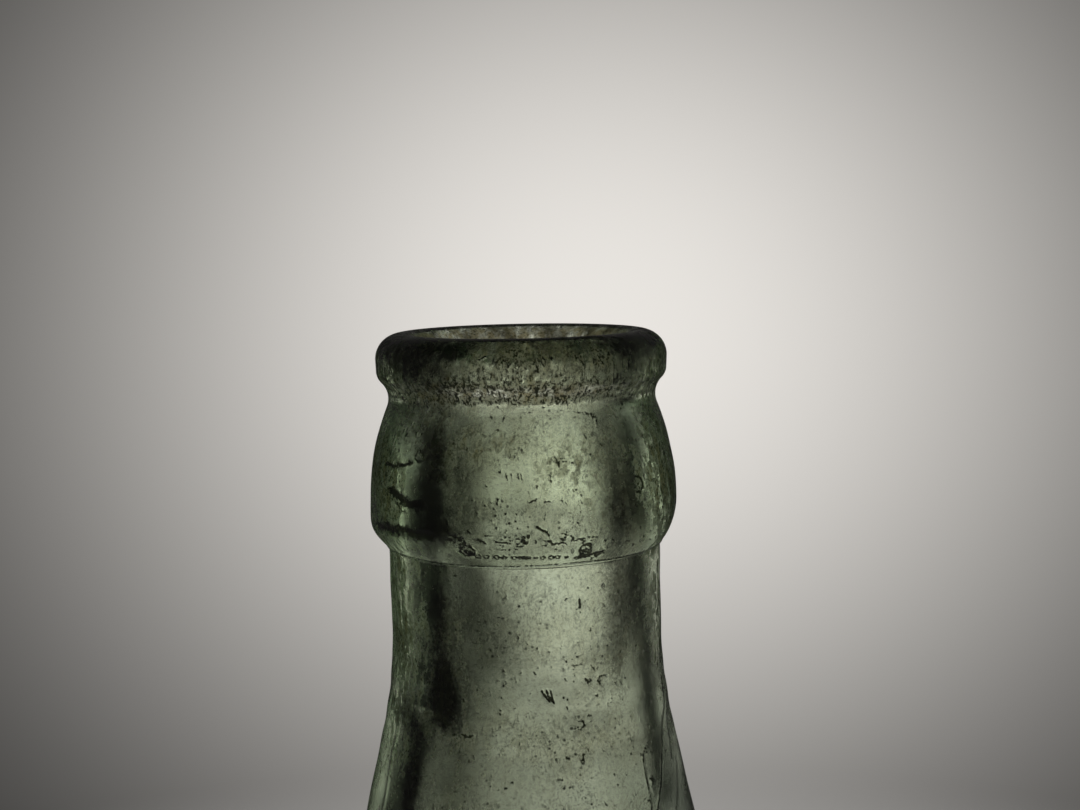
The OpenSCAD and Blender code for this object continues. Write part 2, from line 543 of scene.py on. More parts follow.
def inside_shift(angle, level):
    """How much wider than its true outline the bore or the hollow is."""
    drop = HEIGHT - level
    shift = IN_DRIFT * inner_drift(angle, level) + IN_RIPPLE * inner_ripple(angle, level)
    shift *= 0.15 + 0.85 * ramp(drop, 5, 24)
    shift += BORE_OFF * ramp(drop, 6, 20) * ramp(drop, 60, 36) * np.sin(angle)
    side = np.exp(-(((np.degrees(angle) - STEP_SIDE) / STEP_SPREAD) ** 2))
    step = ramp(drop, STEP_DROP - 0.5, STEP_DROP + 0.5) * ramp(drop, 80, 45)
    return shift + STEP_RISE * step * side


outside = [p for p in finish_skin if p[0] >= mouth_at[0]] + neck_skin + shoulder_skin
SKIN_R, SKIN_Z = np.array([(BODY_R, HEEL_SEAM)] + outside[::-1]).T

# %% [markdown]
# ## Marks
#
# Buried glass is etched and scratched, and black soil stays in every pit. Each mark is a
# short bent stroke on the outside skin: it has a width, a depth pressed into the mesh and a
# darkness that the material reads. Its points are given as degrees round the bottle, with 0
# at the front, and millimetres below the crest.

# %% Strokes
strokes = []
draw = np.random.default_rng(21)


def skin_point(angle, drop):
    """The point of the outside skin at an angle in degrees and a drop in millimetres."""
    radius = np.interp(HEIGHT - drop, SKIN_Z, SKIN_R)
    turned = math.radians(angle)
    return np.array((radius * math.sin(turned), -radius * math.cos(turned), HEIGHT - drop))


def stroke(path, width, depth, dark, wobble=0.0):
    """Keeps one mark. width is its half width in millimetres."""
    points = [skin_point(*place) for place in path]
    if wobble:
        points = [p + draw.normal(0, wobble, 3) for p in points]
    strokes.append((points, width, depth, dark))


def ring(angle, drop, wide, tall, width, depth, dark, turn=360, start=0):
    """A burst bubble: a round or open ring."""
    radius = np.interp(HEIGHT - drop, SKIN_Z, SKIN_R)
    path = []
    for a in np.radians(np.linspace(start, start + turn, max(4, turn // 30 + 1))):
        path.append((angle + math.degrees(wide * math.cos(a) / radius), drop + tall * math.sin(a)))
    stroke(path, width, depth, dark, 0.02)


def dots(places, width, depth, dark):
    """Single round pits."""
    for angle, drop in places:
        stroke([(angle, drop), (angle + 0.3, drop + 0.05)], width, depth, dark, 0.02)


def gouge(path, width, depth, dark, spread, crumbs):
    """A ragged mark: one stroke with short crumbs thrown along it."""
    stroke(path, width, depth, dark, 0.06)
    angles, drops = np.array(path).T
    for share in draw.uniform(0, len(path) - 1, crumbs):
        place = np.interp(share, range(len(path)), angles) + draw.normal(0, 4 * spread)
        drop = np.interp(share, range(len(path)), drops) + draw.normal(0, spread)
        end = (place + draw.uniform(-2.2, 2.2), drop + draw.uniform(-0.2, 0.2))
        stroke([(place, drop), end], draw.uniform(0.06, 0.13), depth / 2, dark)


# %% Press the strokes into a grid of points
REACH = 2.2  # a mark has faded out this many half widths away
LEAST_R = 10.0  # no marked skin lies closer to the axis


def press_marks(points, skin_rows, shape):
    """Works out the dent and the grime that all strokes leave on the skin's rows of a grid."""
    dent, grime = np.zeros(shape), np.zeros(shape)
    levels = points[skin_rows, 0, 2]
    turned = np.arctan2(points[skin_rows[0], :, 0], -points[skin_rows[0], :, 1])
    for path, width, depth, dark in strokes:
        ends = np.array(path)
        reach = REACH * width
        rows = skin_rows[(levels > ends[:, 2].min() - reach) & (levels < ends[:, 2].max() + reach)]
        around = np.arctan2(ends[:, 0], -ends[:, 1])
        middle = np.arctan2(np.sin(around).mean(), np.cos(around).mean())
        spread = round_gap(around, middle).max() + reach / LEAST_R
        columns = np.flatnonzero(round_gap(turned, middle) < spread)
        if not len(rows) or not len(columns):
            continue
        window = np.ix_(rows, columns)
        here = points[window]
        nearest = np.full(here.shape[:2], np.inf)
        for start, end in zip(ends[:-1], ends[1:]):
            step = end - start
            share = np.clip((here - start) @ step / max(step @ step, 1e-9), 0, 1)
            nearest = np.minimum(nearest, np.linalg.norm(here - start - share[..., None] * step, axis=2))
        press = np.exp(-((nearest / width) ** 3))
        dent[window] = np.maximum(dent[window], depth * press)
        grime[window] = np.maximum(grime[window], dark * press)
    return dent, grime


# %% [markdown]
# The larger marks are set one by one, so that they lie where wear and soil gather: gouges on one
# side of the collar, burst bubbles above the lap, claw-shaped nicks on the neck and long
# cracks down its right side.

# %% Marks on the collar
ring(-41.3, 9.95, 0.50, 0.48, 0.13, 0.06, 1.0)
gouge([(-62, 11.0), (-54, 10.9), (-45, 10.5)], 0.17, 0.08, 1.0, 0.12, 14)
stroke([(-51.3, 7.7), (-51.4, 8.4)], 0.09, 0.04, 0.8)
gouge([(-55, 13.1), (-52, 13.3), (-48.9, 13.8), (-45, 14.1), (-38, 13.8)], 0.40, 0.10, 1.0, 0.28, 60)
stroke([(-52, 13.9), (-50, 14.5)], 0.14, 0.05, 0.9, 0.04)
long_gouge = [(-67, 16.7), (-60, 16.4), (-55, 16.6), (-49, 16.4), (-44, 16.6), (-35, 16.4)]
gouge(long_gouge, 0.38, 0.05, 1.0, 0.30, 110)
stroke([(9.1, 10.3), (12, 10.1), (15.5, 10.1)], 0.08, 0.03, 0.8, 0.03)
stroke([(11.5, 9.6), (12.2, 10.1), (12.8, 10.6)], 0.09, 0.03, 0.85, 0.03)
stroke([(14.0, 9.7), (11.0, 10.6)], 0.07, 0.03, 0.7, 0.03)
stroke([(9.7, 10.9), (9.5, 11.7)], 0.07, 0.03, 0.8)
for place, fall in ((-6.0, 0.45), (-4.3, 0.3), (-1.9, 0.45), (-0.9, 0.4)):
    stroke([(place, 11.0), (place + 0.3, 11.0 + fall)], 0.07, 0.02, 1.0)
stroke([(20, 6.1), (23.3, 6.3), (27.8, 6.4), (30.3, 6.8), (29.6, 7.5)], 0.10, 0.03, 0.75, 0.02)
stroke([(44.0, 12.0), (46.4, 12.2), (47.4, 12.8), (45.8, 13.4), (43.7, 13.3)], 0.13, 0.06, 0.95)
stroke([(44.8, 12.6), (45.2, 13.1)], 0.16, 0.04, 0.7)
stroke([(38.4, 12.2), (39.4, 13.5), (41.1, 15.3)], 0.06, 0.03, 0.75, 0.02)
stroke([(-8.8, 13.1), (-9.3, 13.5)], 0.10, 0.03, 0.85)
stroke([(1.8, 13.4), (3.0, 13.2), (4.3, 13.1)], 0.10, 0.03, 0.9)
stroke([(7.1, 13.3), (8.9, 13.4)], 0.10, 0.03, 0.9)
stroke([(-16.5, 14.3), (-15.6, 14.3)], 0.10, 0.03, 0.9)
stroke([(4.1, 15.4), (5.2, 15.6), (6.2, 15.8), (7.6, 15.9), (8.4, 16.3)], 0.13, 0.06, 1.0)
stroke([(8.0, 16.8), (10.0, 17.0), (12.8, 17.0)], 0.13, 0.04, 0.85, 0.04)
dots([(0.9, 16.2), (-0.6, 16.3), (-23.2, 16.6), (-25.0, 16.3), (-21.5, 16.8)], 0.20, 0.05, 0.95)
dots([(0.1, 16.8), (-0.5, 16.7)], 0.22, 0.06, 1.0)
stroke([(-16, 16.6), (-13.8, 16.8)], 0.16, 0.04, 0.9, 0.04)
stroke([(-10, 16.7), (-7.0, 16.8)], 0.10, 0.03, 0.85, 0.03)
for _ in range(60):
    place, drop = draw.uniform(-32, 40), draw.normal(16.9, 0.45)
    end = (place + draw.uniform(0.3, 2.2), drop + draw.uniform(-0.1, 0.1))
    stroke([(place, drop), end], 0.08, 0.04, 1.0)
dots([(-10.0, 14.4), (-6.4, 14.2), (-2.8, 14.3), (-11.4, 14.9), (-6.4, 15.1)], 0.10, 0.03, 0.8)
dots([(17.5, 10.2), (25.0, 9.7), (44.7, 7.2), (-0.5, 9.0), (-12.2, 6.4), (8.2, 5.7)], 0.10, 0.03, 0.9)

# %% Marks along the lap
ring(-20.7, 17.65, 0.66, 0.46, 0.12, 0.07, 0.95)
ring(-20.5, 17.75, 0.30, 0.18, 0.16, 0.03, 0.85)
ring(22.3, 17.9, 0.55, 0.50, 0.14, 0.06, 1.0)
ring(22.5, 17.95, 0.25, 0.22, 0.18, 0.04, 0.85)
gouge([(19.3, 18.6), (23.4, 18.5), (26.5, 18.4), (29.5, 18.3)], 0.24, 0.08, 1.0, 0.12, 20)
for place in np.arange(-180, 180, 7.2):
    end = place + draw.uniform(4.5, 7.2)
    stroke([(place, 19.08), ((place + end) / 2, 19.08), (end, 19.08)], 0.12, 0.03, draw.uniform(0.7, 1.0))
lap_row = (-17, -14, -10.2, -7.6, -3.8, -2.2, -0.6, 1.2, 3.8, 6.5, 9.5, 12, 15.3)
for place in lap_row:
    wide = draw.uniform(0.12, 0.26)
    ring(place, 18.25 + 0.01 * place, wide, draw.uniform(0.10, 0.18), 0.09, 0.03, 1.0)
for place in np.arange(28, 66, 2.1):
    end = place + draw.uniform(0.5, 1.6)
    stroke([(place, 17.9), (end, 17.9)], 0.10, 0.03, draw.uniform(0.3, 0.9), 0.05)
for place in np.arange(-75, -22, 2.6):
    end = place + draw.uniform(0.5, 2.0)
    stroke([(place, 18.7), (end, 18.7)], 0.09, 0.03, draw.uniform(0.2, 0.8), 0.05)

# %% Marks on the neck
ring(-62, 23.9, 0.9, 0.5, 0.07, 0.03, 0.7, 240, 30)
stroke([(-60, 25.4), (-51.4, 25.6)], 0.07, 0.03, 0.6, 0.04)
stroke([(-72, 26.3), (-62.5, 26.6)], 0.07, 0.03, 0.7, 0.04)
stroke([(-65, 26.5), (-62.6, 29), (-62.5, 30.2), (-61.5, 31.7)], 0.09, 0.05, 0.9, 0.05)
stroke([(-52.5, 28.2), (-49.8, 28.9), (-48, 28.8)], 0.12, 0.05, 0.95)
stroke([(-70.7, 32.7), (-70.5, 33.4)], 0.12, 0.04, 0.95)
dots([(-62.6, 33.1), (-57.6, 33.1), (0.0, 25.7), (-14.4, 26.3), (8.3, 26.4), (4.5, 26.5)], 0.10, 0.03, 0.9)
ring(-16.4, 25.2, 0.36, 0.36, 0.07, 0.03, 0.5)
stroke([(21.6, 22.2), (21.6, 22.9)], 0.14, 0.04, 0.95)
dots([(21.5, 23.3), (21.5, 24.0), (20.6, 24.9), (19.1, 26.8), (20.0, 27.2), (17.8, 27.3)], 0.09, 0.03, 0.85)
dots([(-9.4, 28.0), (-9.0, 28.4), (4.0, 27.8), (27.3, 30.7), (24.8, 31.1), (-10.6, 31.5)], 0.12, 0.04, 0.9)
stroke([(26.9, 28.4), (25.5, 28.0), (19.5, 27.9), (18.0, 28.4), (20.2, 29.2)], 0.07, 0.03, 0.7, 0.03)
stroke([(5.6, 29.9), (6.8, 30.4), (8.4, 30.8)], 0.12, 0.06, 1.0)
stroke([(7.2, 29.8), (8.2, 30.5), (9.9, 30.9)], 0.12, 0.06, 1.0)
stroke([(8.7, 29.8), (9.3, 30.4), (9.9, 30.7)], 0.09, 0.05, 0.95)
stroke([(23.4, 29.2), (24.3, 29.5), (25.2, 29.3)], 0.16, 0.05, 0.85, 0.06)
stroke([(32.2, 29.2), (29.3, 29.2), (28.6, 29.5), (29.7, 29.9)], 0.11, 0.05, 0.95)
stroke([(-7.5, 32.3), (-5.2, 32.5), (-3.4, 32.3)], 0.10, 0.03, 0.6, 0.07)
ring(20.0, 33.0, 0.34, 0.34, 0.12, 0.05, 0.95, 240, -110)
stroke([(-25.8, 33.8), (-23.5, 33.9), (-21.3, 33.8)], 0.14, 0.05, 1.0, 0.03)
stroke([(-38.5, 34.3), (-32, 34.0), (-26, 33.8)], 0.08, 0.03, 0.6, 0.04)
stroke([(20.6, 35.5), (20.3, 36.0), (19.7, 36.1)], 0.13, 0.05, 0.95)
dots([(13.8, 35.6), (42.4, 37.4), (31.8, 37.6), (11.3, 37.3), (-32.0, 40.0)], 0.12, 0.04, 0.85)
stroke([(-13.8, 36.9), (-14.0, 38.1)], 0.07, 0.03, 0.5)
ring(48.5, 39.3, 0.26, 0.34, 0.12, 0.05, 0.95, 240, -120)
stroke([(51, 36.0), (47, 36.7), (46.3, 37.7), (46.8, 40.3), (46.1, 42), (45.5, 46)], 0.10, 0.03, 1.0, 0.03)
stroke([(73, 31.5), (70, 33.6), (62, 36.2), (54.8, 39.5), (49, 42), (44, 46)], 0.14, 0.04, 1.0, 0.04)
stroke([(76, 33.5), (69.5, 35.8), (66.5, 38.6)], 0.12, 0.04, 1.0, 0.04)
stroke([(71.5, 38.8), (67, 41), (60.5, 43)], 0.12, 0.04, 1.0, 0.04)
print("marks set by hand:", len(strokes))

# %% [markdown]
# About two thousand smaller marks are thrown at random from a fixed seed. The lip was made last
# and hottest, and it weathered most: it is crowded with short upright worm tracks. Lower down
# the marks are small pits.

# %% Scattered marks
def scatter(count, drops, length, width, depth, dark, upright, front_share=0.0):
    """Throws short bent strokes. upright is 1 for vertical tracks and 0 for any direction."""
    for _ in range(count):
        angle = draw.uniform(-75, 75) if draw.random() < front_share else draw.uniform(-180, 180)
        drop = draw.uniform(*drops)
        lean = draw.normal(0, 0.35) if draw.random() < upright else draw.uniform(-1.6, 1.6)
        size = draw.uniform(*length)
        radius = np.interp(HEIGHT - drop, SKIN_Z, SKIN_R)
        path = [(angle, drop)]
        for _ in range(2):
            lean += draw.normal(0, 0.5)
            angle += math.degrees(size / 2 * math.sin(lean) / radius)
            drop += size / 2 * math.cos(lean)
            path.append((angle, drop))
        stroke(path, draw.uniform(*width), depth * draw.uniform(0.4, 1), draw.uniform(*dark))


for _ in range(46):
    place, drop = draw.uniform(47, 67), draw.uniform(7.5, 15.5)
    tail = (place + draw.uniform(-1.2, 1.8), drop + draw.uniform(0.5, 2.0))
    stroke([(place, drop), tail], 0.045, 0.02, draw.uniform(0.5, 0.9))
for side in (-1, 1):
    for _ in range(34):
        place, drop = side * draw.uniform(58, 84), draw.uniform(1.0, 3.6)
        end = (place + draw.uniform(-0.6, 0.6), drop + draw.uniform(0.3, 1.2))
        stroke([(place, drop), end], 0.05, 0.03, 1.0)
scatter(330, (0.7, 4.2), (0.25, 0.9), (0.055, 0.09), 0.05, (0.8, 1.0), 0.7)
scatter(420, (3.6, 5.3), (0.12, 0.6), (0.055, 0.10), 0.05, (0.8, 1.0), 0.3)
scatter(260, (5.5, 18.5), (0.05, 0.34), (0.055, 0.10), 0.03, (0.8, 1.0), 0.5)
scatter(120, (12.5, 17.5), (0.05, 0.26), (0.055, 0.10), 0.03, (0.7, 1.0), 0.2, 0.4)
scatter(340, (19.8, 45.0), (0.05, 0.32), (0.055, 0.10), 0.03, (0.8, 1.0), 0.3, 0.3)
scatter(140, (26.0, 34.0), (0.05, 0.30), (0.05, 0.09), 0.04, (0.5, 1.0), 0.3, 0.8)
scatter(50, (20.0, 46.0), (0.6, 2.4), (0.04, 0.06), 0.03, (0.4, 0.8), 0.6)
scatter(420, (45.0, 183.0), (0.3, 1.6), (0.16, 0.30), 0.05, (0.4, 0.9), 0.3)
print("marks in all:", len(strokes))

# %% [markdown]
# ## Stain, soot and painted shade
#
# A brown-green film has grown on the glass. It is thickest in the mouth and on the lip, thinner
# on the collar, and rubbed off above the lap. The stain function below gives its amount from 0
# to 1, and some of its spots are painted shade that darkens the sides of the collar and neck.
# The soot function gives the black dirt that lies on the lip's upper edge, and the runs down
# the sides, which are partly soot and partly painted shade.

# %% Where the stain and the painted edge shade lie
CLEAN_STAIN, LIP_STAIN, THROAT_STAIN = 0.11, 0.385, 0.90
# Each row: amount, degrees round, drop, and how far the spot reaches round and down.
# Three rows are painted shade, not stain: the spots at -72 and 66 degrees darken the collar's edges, and
# the one at -60 degrees darkens the neck's left side.
STAIN_AND_EDGE_SHADE_SPOTS = (
    (0.16, 28, 10, 18, 5),
    (0.12, -22, 12, 12, 6),
    (0.08, 26, 13, 9, 4),
    (0.40, -72, 12, 22, 5),
    (0.56, 66, 13, 17, 5.5),
    (-0.34, -4, 17.8, 34, 4.5),
    (-0.12, 0, 7, 22, 1),
    (0.50, -60, 26, 16, 9),
    (0.30, 78, 26, 15, 9),
    (0.14, -28, 30, 16, 6),
    (0.18, 42, 25, 12, 5),
)
EXTRA_LIP_STAIN = ((0.30, 0, 4.6, 60, 0.9), (-0.07, 7, 2.9, 20, 1.8))

cloud = slow_waves(17, 24, 9, 14.0)
fine_cloud = slow_waves(19, 30, 30, 4.0)


def spots(angle, drop, rows):
    """Adds up soft spots."""
    return sum(amount * patch(angle, drop, *spot) for amount, *spot in rows)


def stain_and_edge_shade_at(angle, level, radius, inner):
    """Amount of brown film on the outside, with painted shade added on the sides, or on the inside where
    inner is 1.
    """
    drop = HEIGHT - level
    fine = fine_cloud(angle, level)
    patchy = 0.5 + 0.22 * cloud(angle, level) + 0.12 * fine
    # These spots hold real stain and the painted edge shade.
    outer = CLEAN_STAIN + 0.22 * patchy + spots(angle, drop, STAIN_AND_EDGE_SHADE_SPOTS)
    outer += 0.44 * patchy * patch(angle, drop, -8, 8.8, 24, 1.5)
    outer -= 0.22 * ramp(patch(angle, drop, 4.5, 6, 11, 0.5), 0.3, 0.45)
    outer -= 0.05 * ramp(drop, 19, 22) + 0.03 * ramp(drop, 33, 38)
    lip = ramp(drop + 0.25 * fine, 5.6, 4.9)
    outer += (LIP_STAIN + 0.22 * (patchy - 0.5) - outer) * lip + spots(angle, drop, EXTRA_LIP_STAIN)
    throat = ramp(radius, mouth_at[0] + 0.4, mouth_at[0] - 0.4) * ramp(drop, 0.15, 0.5)
    outer += (THROAT_STAIN + 0.2 * (patchy - 0.5) - outer) * throat
    bore = 0.10 + 0.62 * ramp(drop, 4.0, 1.2) + 0.1 * patchy
    return np.clip(np.where(inner, bore, outer), 0, 1)


# %% Where the soot and the painted side shade lie
CREST_SOOT, BAND_SOOT, RIM_SOOT, LAP_SOOT = 0.9, 0.42, 0.34, 0.55
# Runs down the sides of the collar and neck: partly soot and partly painted shade that darkens the glass's
# sides.
SOOT_AND_SHADE_RUNS = (
    (0.36, -36, 3, 18, 2.6),
    (0.24, 46, 2.6, 16, 2.4),
    (0.85, -34, 11.5, 8, 5),
    (0.50, -27, 15.8, 9, 1.5),
    (0.50, -52, 16.5, 20, 0.9),
    (0.45, -48, 8, 16, 3),
    (0.58, 35, 14, 9, 6),
    (0.34, 65, 13, 11, 4.5),
    (0.35, 50, 22.5, 10, 4),
    (0.42, -58, 27, 14, 8),
    (0.45, -56, 33.4, 15, 1.8),
    (0.26, -22, 27.5, 11, 7),
    (0.44, 38, 26, 9, 8),
)
UPPER_EDGE = ((0.805, -58, 1.4, 27, 1.9), (0.56, 56, 1, 20, 1.6))
# Above the step: soot and painted shade, the dark line down the neck's left side that the step cuts off.
SOOT_AND_SHADE_ABOVE_STEP = ((0.66, -37, 24, 7, 6), (0.95, -35, 31.4, 8, 3.2))


def soot_and_shade_at(angle, level, radius):
    """Amount of black dirt on the crest and the lip's upper edge, and of soot and painted shade down the
    sides.
    """
    drop = HEIGHT - level
    fine = fine_cloud(angle, level)
    outer_side = ramp(radius, mouth_at[0] - 0.3, mouth_at[0] + 0.5)
    crest = CREST_SOOT * ramp(drop, 0.30, 0.12)
    uneven_drop = drop + 0.25 * fine + 0.2 * cloud(angle, level)
    band = BAND_SOOT * ramp(uneven_drop, 1.5, 0.5) * outer_side
    rim = RIM_SOOT * (1 - outer_side) * (1 + 0.3 * fine)
    # The runs add soot and painted side shade.
    run = spots(angle, drop, SOOT_AND_SHADE_RUNS) + spots(angle, drop, UPPER_EDGE) * outer_side
    run += spots(angle, drop, SOOT_AND_SHADE_ABOVE_STEP) * ramp(drop + 0.3 * fine, 34.6, 33.2)
    run += 0.85 * patch(angle, drop, -47, 39.5, 6, 5.5) * ramp(drop, 33, 34)
    run += LAP_SOOT * np.exp(-(((drop - COLLAR_END) / 0.13) ** 2))
    return np.clip(np.maximum(np.maximum(crest, rim), band) + run, 0, 0.97)


# %% [markdown]
# ## Turning a piece
#
# `turn_piece` spins a closed outline into a mesh. The outline runs down the outside and back
# up the inside. Every stretch has a kind: "out" and "in" are skins that drift as above, and
# "joint" is a face that lies against the next piece. Joint faces stay true, so the pieces
# still fit, and they carry a mark that the glass material reads, because light crosses a
# fused joint without bending.
#
# The columns stand closer together at the front, where the fine marks are. Stretches that
# need less detail use every second column.

# %% Columns round the bottle
CROWDING = 0.42  # 0 spaces the columns evenly


def column_angles(count):
    """Angles round the bottle, crowded towards the front."""
    share = np.linspace(-0.5, 0.5, count, endpoint=False)
    return 2 * math.pi * share - CROWDING * np.sin(2 * math.pi * share)


# %% A bubble in the glass
EGG_RINGS, EGG_TURNS = 7, 12


def bubble_shell(angle, drop, under, half_size, first):
    """A closed egg whose faces look inwards, as the walls of a hollow do. Point numbers start
    at first. half_size holds the half sizes round, down and through the glass."""
    wide, tall, deep = half_size
    centre = skin_point(angle, drop)
    outwards = centre * (1, 1, 0) / np.linalg.norm(centre[:2])
    sideways = np.array((-outwards[1], outwards[0], 0))
    centre = centre - outwards * (under + deep)
    up = np.array((0, 0, tall))
    points, faces = [centre + up], []
    for tilt in np.linspace(0, math.pi, EGG_RINGS + 1)[1:-1]:
        for a in np.linspace(0, 2 * math.pi, EGG_TURNS, endpoint=False):
            across = sideways * wide * math.cos(a) + outwards * deep * math.sin(a)
            points.append(centre + across * math.sin(tilt) + up * math.cos(tilt))
    points.append(centre - up)
    last = len(points) - 1
    for k in range(EGG_TURNS):
        n = (k + 1) % EGG_TURNS
        faces.append([0, 1 + n, 1 + k])
        for low in range(1, last - EGG_TURNS, EGG_TURNS):
            faces.append([low + k, low + n, low + EGG_TURNS + n, low + EGG_TURNS + k])
        faces.append([last, last - EGG_TURNS + k, last - EGG_TURNS + n])
    return points, [[first + v for v in face] for face in faces]


# %% Guard the corners of an outline
GUARD = 0.03


def guard(row, neighbour, corner):
    """The extra row of a skin's last point before a corner, or nothing elsewhere."""
    point, kind, thin = row
    step = np.subtract(neighbour[0], point)
    length = np.linalg.norm(step)
    if kind == "joint" or corner[1] != "joint" or neighbour[1] == "joint" or length < 2 * GUARD:
        return []
    return [(point + step * GUARD / length, kind, thin)]


def guarded(rows):
    """Adds a row just short of each corner between skin and joint. Smooth shading blends the
    two faces only over that sliver, so no dark rim shows on the skin."""
    result = []
    for i, row in enumerate(rows):
        before, after = rows[i - 1], rows[(i + 1) % len(rows)]
        result += guard(row, before, after) + [row] + guard(row, after, before)
    return result


# %% Store a mesh with the values it carries
def store_mesh(name, points, faces, on_faces, on_points):
    """Leaves out unused points, builds the mesh and stores each value on its faces or points."""
    used = np.zeros(len(points), bool)
    used[[v for face in faces for v in face]] = True
    number = (np.cumsum(used) - 1).tolist()
    mesh = bpy.data.meshes.new(name)
    mesh.from_pydata((points[used] * MM).tolist(), [], [[number[v] for v in face] for face in faces])
    layers = [(label, "FACE", values) for label, values in on_faces.items()]
    layers += [(label, "POINT", values[used]) for label, values in on_points.items()]
    for label, domain, values in layers:
        mesh.attributes.new(label, "FLOAT", domain).data.foreach_set("value", values.astype(np.float32))
    mesh.shade_smooth()
    piece = bpy.data.objects.new(name, mesh)
    bpy.context.scene.collection.objects.link(piece)
    print(name, "has", len(mesh.vertices), "points and", len(mesh.polygons), "faces")
    return piece


# %% Spin an outline into a closed mesh
def turn_piece(name, stretches, columns, bubbles=()):
    """stretches holds (kind, points) or (kind, points, "thin"), in order round the outline."""
    rows = []
    for kind, stretch, *rest in stretches:
        for point in stretch:
            if not rows or math.dist(point, rows[-1][0]) >= 0.002:
                rows.append((point, kind, bool(rest)))
    outline, kinds, thin = (np.array(column) for column in zip(*guarded(rows)))
    on_axis = outline[:, 0] < 1e-6
    step = np.roll(outline, -1, axis=0) - np.roll(outline, 1, axis=0)
    step[on_axis] = (1, 0)
    normal = np.stack([-step[:, 1], step[:, 0]], axis=1)
    normal /= np.linalg.norm(normal, axis=1)[:, None]
    is_out, is_in = (kinds == "out")[:, None], (kinds == "in")[:, None]
    angle = column_angles(columns)[None, :] + 0 * outline[:, :1]
    radius = outline[:, :1] + 0 * angle
    level = outline[:, 1:] + 0 * angle

    true_skin = np.stack([radius * np.sin(angle), -radius * np.cos(angle), level], axis=2)
    dent, grime = press_marks(true_skin, np.flatnonzero(is_out[:, 0] & ~on_axis), angle.shape)
    shift = np.where(is_out, outside_shift(angle, level) - dent, 0)
    shift = shift - np.where(is_in, inside_shift(angle, level), 0)
    shift[on_axis] = 0
    radius = radius + normal[:, :1] * shift
    level = level + normal[:, 1:] * np.where(is_out, shift, 0)
    points = np.stack([radius * np.sin(angle), -radius * np.cos(angle), level], axis=2).reshape(-1, 3)
    soot_and_shade = np.where(is_out, soot_and_shade_at(angle, level, radius), 0)
    fields = {"stain_and_shade": stain_and_edge_shade_at(angle, level, radius, is_in), "soot_and_shade": soot_and_shade, "grime": grime}

    faces, joint = [], []
    thin |= on_axis
    rings = [(i * columns + np.arange(columns) * (not on_axis[i])).tolist() for i in range(len(outline))]
    for i, here in enumerate(rings):
        j = (i + 1) % len(rings)
        if not (on_axis[i] and on_axis[j]):
            made = ring_faces(here, rings[j], thin[i], thin[j])
            faces += made
            joint += [kinds[i] == "joint"] * len(made)
    for bubble in bubbles:
        shell, shell_faces = bubble_shell(*bubble, len(points))
        points = np.concatenate([points, shell])
        faces += shell_faces
    joint = np.array(joint + [False] * (len(faces) - len(joint)))
    for label, values in fields.items():
        fields[label] = np.append(values, np.zeros(len(points) - values.size))
    print(name, "has", len(bubbles), "bubbles")
    return store_mesh(name, points, faces, {"joint": joint}, fields)


# %% [markdown]
# ## Bubbles
#
# Small bubbles were caught where hot glass was laid over cooler glass, so they crowd along
# the lap, and a few float in the wall. Each is a real hollow, and shows as a bright egg with a
# dark outline.

# %% Throw the bubbles
def bubbles_between(count, drops, sizes, under, seed):
    """Bubbles at random places: (angle, drop, depth under the skin, half sizes)."""
    pick = np.random.default_rng(seed)
    found = []
    for _ in range(count):
        size = pick.uniform(*sizes)
        shape = (size, size * pick.uniform(0.8, 1.8), size)
        found.append((pick.uniform(-180, 180), pick.uniform(*drops), pick.uniform(*under), shape))
    return found


finish_bubbles = bubbles_between(90, (16.8, 18.3), (0.06, 0.16), (0.15, 0.7), 31)
finish_bubbles += bubbles_between(50, (7.0, 15.0), (0.05, 0.16), (0.3, 1.6), 32)
neck_bubbles = bubbles_between(70, (20.5, 60.0), (0.06, 0.20), (0.4, 2.6), 33)
wall_bubbles = bubbles_between(60, (118.0, 180.0), (0.10, 0.35), (0.4, 2.4), 34)

# %% [markdown]
# ## The four pieces
#
# The finish was run on hot over the tapered end of the neck, so its inside holds a socket and
# the neck ends in a spigot. The other joints are flat rings on the mould's parting lines.

# %% Turn the finish and the neck
MANY_COLUMNS, FEWER_COLUMNS = 560, 420
half = SPLIT / 2
inner_r = BODY_R - WALL
bevel = 0.02  # keeps joint faces just inside the skins
socket_tip = (BORE_R + SPIGOT_WALL + half, tip_z + half)
socket_root = (NECK_R - SEAT + half, seat_z + half)
spigot_tip = (BORE_R + SPIGOT_WALL - half, tip_z - half)
spigot_root = (NECK_R - SEAT - half, seat_z - half)


def flat_ring(level):
    """A joint face of the wall, from the outside to the inside."""
    return [(BODY_R - bevel, level), (inner_r + bevel, level)]


finish = turn_piece(
    "crown_finish_glass",
    [
        ("out", finish_skin),
        ("joint", [(NECK_R + COLLAR_LEDGE - bevel, socket_root[1])], "thin"),
        ("joint", joined(line(socket_root, socket_tip, COARSE), [(BORE_R + bevel, socket_tip[1])]), "thin"),
        ("in", line((BORE_R, socket_tip[1]), (BORE_R, mouth_at[1]), FINE), "thin"),
    ],
    MANY_COLUMNS,
    finish_bubbles,
)
blown_inside = [(r - wall_at(z), z) for r, z in (neck_skin + shoulder_skin)[::-1] if z < flare_z]
blown_inside = [p for i, p in enumerate(blown_inside) if i % 2 == 0 or p[1] < flare_z - 20]
neck = turn_piece(
    "neck_and_shoulder_glass",
    [
        ("out", neck_skin),
        ("out", shoulder_skin, "thin"),
        ("joint", flat_ring(shoulder_z + half), "thin"),
        ("in", joined(blown_inside, line((BORE_R, flare_z), (BORE_R, spigot_tip[1]), MEDIUM)), "thin"),
        ("joint", joined([(BORE_R + bevel, spigot_tip[1])], line(spigot_tip, spigot_root, COARSE)), "thin"),
        ("joint", [(NECK_R - bevel, spigot_root[1])], "thin"),
    ],
    MANY_COLUMNS,
    neck_bubbles,
)

